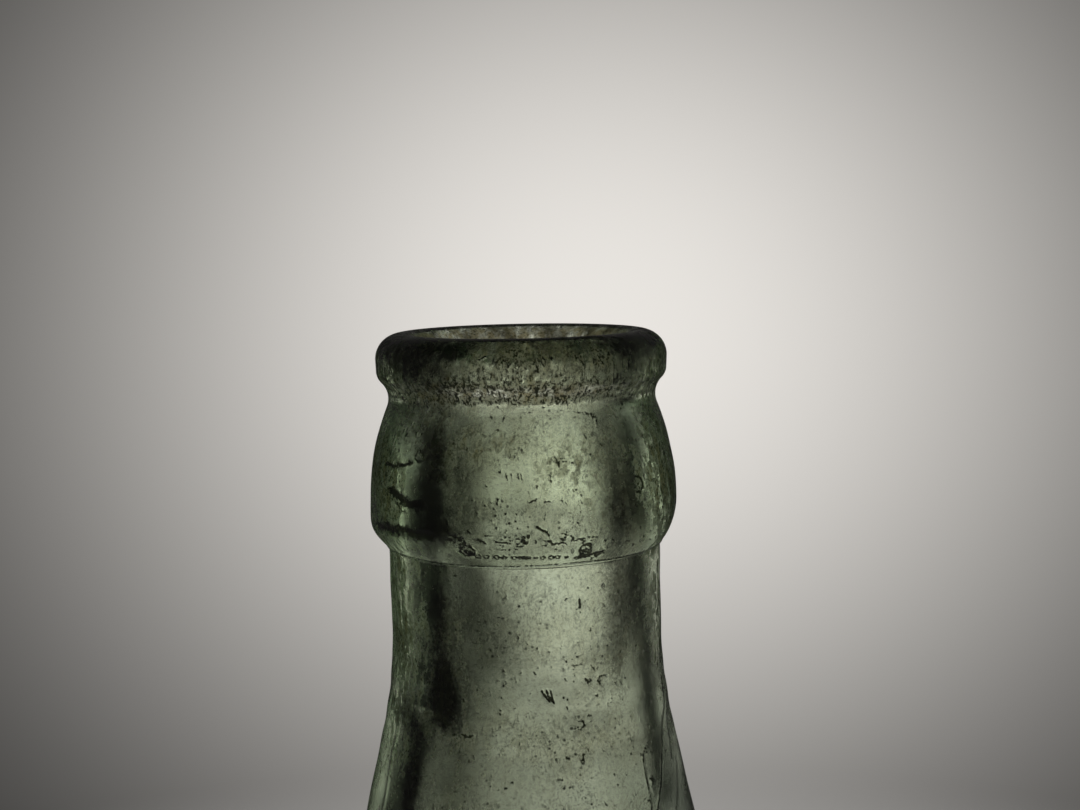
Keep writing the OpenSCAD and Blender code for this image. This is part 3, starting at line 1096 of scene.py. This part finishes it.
# %% Turn the wall
wall_top, wall_foot = shoulder_z - half, HEEL_SEAM + half
wall = turn_piece(
    "body_wall_glass",
    [
        ("out", line((BODY_R, wall_top), (BODY_R, wall_foot), MEDIUM)),
        ("joint", flat_ring(wall_foot), "thin"),
        ("in", line((inner_r, wall_foot), (inner_r, wall_top), COARSE), "thin"),
        ("joint", flat_ring(wall_top)[::-1], "thin"),
    ],
    FEWER_COLUMNS,
    wall_bubbles,
)

# %% [markdown]
# The base stands on a narrow ring. Inside the ring the glass is pushed up like the bottom of a
# bowl, which stops the bottle from rocking. The push-up and the floor are parts of balls
# that touch the rounds beside them.

# %% Turn the base
base_top = HEEL_SEAM - half
foot_out = BODY_R - HEEL_ROUND
foot_in_at = (foot_out - FOOT_W, FOOT_ROUND)
push_ball = ball_radius(foot_in_at, FOOT_ROUND, PUSH_UP)
push_at = (0.0, PUSH_UP - push_ball)
floor_z = PUSH_UP + BASE_T
floor_edge_at = (inner_r - FLOOR_ROUND, HEEL_SEAM)
floor_ball = ball_radius(floor_edge_at, FLOOR_ROUND, floor_z)
floor_at = (0.0, floor_z - floor_ball)
base = turn_piece(
    "push_up_base_glass",
    [
        ("out", [(BODY_R, base_top)] + arc((foot_out, HEEL_ROUND), HEEL_ROUND, 0, -90, MEDIUM)),
        ("out", arc(foot_in_at, FOOT_ROUND, 270, 360 + toward(foot_in_at, push_at), MEDIUM)),
        ("out", arc(push_at, push_ball, toward(push_at, foot_in_at), 90, COARSE)),
        ("in", arc(floor_at, floor_ball, 90, toward(floor_at, floor_edge_at), COARSE), "thin"),
        ("in", arc(floor_edge_at, FLOOR_ROUND, toward(floor_edge_at, floor_at), 0, MEDIUM)[:-1], "thin"),
        ("in", [(inner_r, base_top)], "thin"),
        ("joint", flat_ring(base_top)[::-1], "thin"),
    ],
    FEWER_COLUMNS,
)

# %% [markdown]
# ## Weathered skin
#
# The film is not even. Close up it is a felt of tiny pits, and it thins and thickens in
# clouds. One node group makes that pattern from the stain, soot and grime that the meshes
# carry, so every glass piece weathers in the same way. It gives out masks and a height, and
# the material decides what they look like. The stain and soot bring painted shade on the sides
# of the collar and neck, so the masks carry that painted shade too.

# %% Noises of the weathered skin
BRUSH_LEAN = 0.7  # radians: the film is brushed aslant
weather = bpy.data.node_groups.new("weathered_skin_and_shade", "ShaderNodeTree")
for name in ("Stain_and_shade", "Soot_and_shade", "Grime"):
    weather.interface.new_socket(name, in_out="INPUT", socket_type="NodeSocketFloat")
for name in ("Film_and_shade", "Dirt_and_shade", "Height"):
    weather.interface.new_socket(name, in_out="OUTPUT", socket_type="NodeSocketFloat")
given = weather.nodes.new("NodeGroupInput")
stain_and_shade, soot_and_shade, grime = (Value(given, name) for name in ("Stain_and_shade", "Soot_and_shade", "Grime"))


def noise(place, scale, detail, roughness=0.55):
    """A noise value from 0 to 1. scale is in waves to the metre."""
    inputs = {"Vector": place, "Scale": scale, "Detail": detail, "Roughness": roughness}
    return Value(add(weather, "TexNoise", inputs), "Fac")


place = Value(add(weather, "TexCoord"), "Object")
aslant = {"Vector": place, "Rotation": (0, BRUSH_LEAN, 0), "Scale": (1, 1, 0.3)}
squeezed = Value(add(weather, "VectorMath", {0: place, 1: (1, 1, 0.35)}, operation="MULTIPLY"))
clouds = noise(place, 160, 4)
mottle = noise(place, 1300, 3)
brush = noise(Value(add(weather, "Mapping", aslant)), 1300, 3, 0.6)
felt = noise(place, 1900, 3, 0.7)
upright = noise(squeezed, 2500, 2, 0.6)
grain = noise(place, 4800, 2, 0.6)
cells = add(weather, "TexVoronoi", {"Vector": place, "Scale": 1700.0})
cell_draw = Value(add(weather, "SeparateColor", {0: Value(cells, "Color")}))

# %% [markdown]
# The film is the stain times three noises. The dirt is whichever of five kinds is strongest
# at a point: soil in the marks, worm tracks where the film is thick, specks, soot, and grit
# with fine hairs. Light crosses a dirty skin more than once, so the clear share is cubed.
# The stain and soot carry painted shade on the sides, so film and dirt darken those sides too.

# %% Film and dirt of the weathered skin, with the painted side shade they carry
film_and_shade = clouds.remap(0.3, 0.7, 0.45, 1.5) * felt.remap(0.33, 0.67, 0.5, 1.5)
film_and_shade = (film_and_shade * brush.remap(0.35, 0.65, 0.4, 1.6)).math("MULTIPLY", stain_and_shade, clamp=True)

flat = Value(add(weather, "VectorMath", {0: place, 1: (1, 1, 0)}, operation="MULTIPLY"))
from_axis = Value(add(weather, "VectorMath", {0: flat}, operation="LENGTH"), "Value")
level = Value(add(weather, "SeparateXYZ", {0: place}), "Z")
on_lip = level.remap((HEIGHT - 6.6) * MM, (HEIGHT - 5.2) * MM, 0.40, 1.0)
tracks = abs(upright - 0.5).remap(0.03, 0.055, 1.0, 0.0) * felt.remap(0.47, 0.55)
tracks *= stain_and_shade.remap(0.30, 0.40) * from_axis.remap(0.0100, 0.0115) * on_lip

speck = Value(cells, "Distance").remap(0.15, 0.25, 1.0, 0.0)
speck *= cell_draw.remap(0.62, 0.66) * clouds.remap(0.44, 0.60, 0.0, 0.95)
ragged = grain + felt * 0.3 - 0.65
pits = (ragged * 2.0 + grime).remap(0.45, 0.62)
# Soot, with the painted side shade that its runs carry.
soot_and_shade_mask = (soot_and_shade * mottle.remap(0.35, 0.65, 0.85, 1.12) + ragged * 0.7).remap(0.22, 0.85, 0.0, 0.97)
grit = ragged.remap(0.04, 0.14) * stain_and_shade.remap(0.15, 0.45, 0.20, 0.70) * clouds.remap(0.35, 0.65, 0.4, 1.2)
hair = abs(brush - 0.5).remap(0.0, 0.014, 0.40, 0.0) * clouds.remap(0.44, 0.56)
clear = (1 - pits.most(tracks, speck, soot_and_shade_mask, grit + hair)).math("POWER", 3.0)
dirt_and_shade = (clear * -1.0).math("ADD", 1.0, clamp=True)

result = weather.nodes.new("NodeGroupOutput")
for name, value in (("Film_and_shade", film_and_shade), ("Dirt_and_shade", dirt_and_shade), ("Height", (felt + grain) * film_and_shade)):
    weather.links.new(value.socket, result.inputs[name])
print("weathered skin:", len(weather.nodes), "nodes")

# %% [markdown]
# ## The glass
#
# Old green glass takes more red and blue out of the light the further it travels, so thick
# places and edges are greener. A volume that absorbs gives that for free. The surface bends
# light, the film dims and scatters it, and dirt stops it. Film and dirt also darken the sides
# of the collar and neck with painted shade. Lamps get most of their light through, so the
# shadow is soft and green instead of black.

# %% Glass material
GLASS_IOR = 1.52
# The film and dirt colours also colour the painted side shade that the film and dirt masks carry.
CLEAN, FILM_AND_SHADE, DIRT_AND_SHADE = (0.93, 0.945, 0.90, 1), (0.36, 0.29, 0.15, 1), (0.002, 0.002, 0.001, 1)
THIN_FILM, THICK_FILM, THIN_ROUGH, THICK_ROUGH = 0.26, 0.52, 0.15, 0.55
BUMP_SHARE, BUMP_DEPTH = 0.3, 0.00003
ABSORB_COLOUR, ABSORB_DENSITY = (0.50, 0.77, 0.37, 1), 56.0
LAMP_SHARE = 0.58

glass, tree, out = blank_material("green_glass")
weathering = tree.nodes.new("ShaderNodeGroup")
weathering.node_tree = weather
for name in ("Stain_and_shade", "Soot_and_shade", "Grime"):
    carried = add(tree, "Attribute", attribute_name=name.lower()).outputs["Fac"]
    tree.links.new(carried, weathering.inputs[name])
film_and_shade, dirt_and_shade, height = (Value(weathering, name) for name in ("Film_and_shade", "Dirt_and_shade", "Height"))
bump = add(tree, "Bump", {"Strength": BUMP_SHARE, "Distance": BUMP_DEPTH, "Height": height})
joint_mark = Value(add(tree, "Attribute", attribute_name="joint"), "Fac")
skin = add(
    tree,
    "BsdfPrincipled",
    {
        "Base Color": mix_colour(dirt_and_shade, mix_colour(film_and_shade, CLEAN, FILM_AND_SHADE), DIRT_AND_SHADE),
        "Roughness": film_and_shade.remap(THIN_FILM, THICK_FILM, THIN_ROUGH, THICK_ROUGH),
        "IOR": GLASS_IOR,
        "Transmission Weight": 1.0,
        "Normal": Value(bump),
        "Alpha": 1 - joint_mark.most(ray(tree, "Shadow") * LAMP_SHARE),
    },
)
depth = add(tree, "VolumeAbsorption", {"Color": ABSORB_COLOUR, "Density": ABSORB_DENSITY})
tree.links.new(skin.outputs[0], out.inputs["Surface"])
tree.links.new(depth.outputs[0], out.inputs["Volume"])

# %% Dress the pieces and hand them to the frame
for piece, node in (
    (finish, "crown_finish"),
    (neck, "neck_and_shoulder"),
    (wall, "body_wall"),
    (base, "push_up_base"),
):
    piece.data.materials.append(glass)
    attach(piece, "root")
    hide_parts(node)
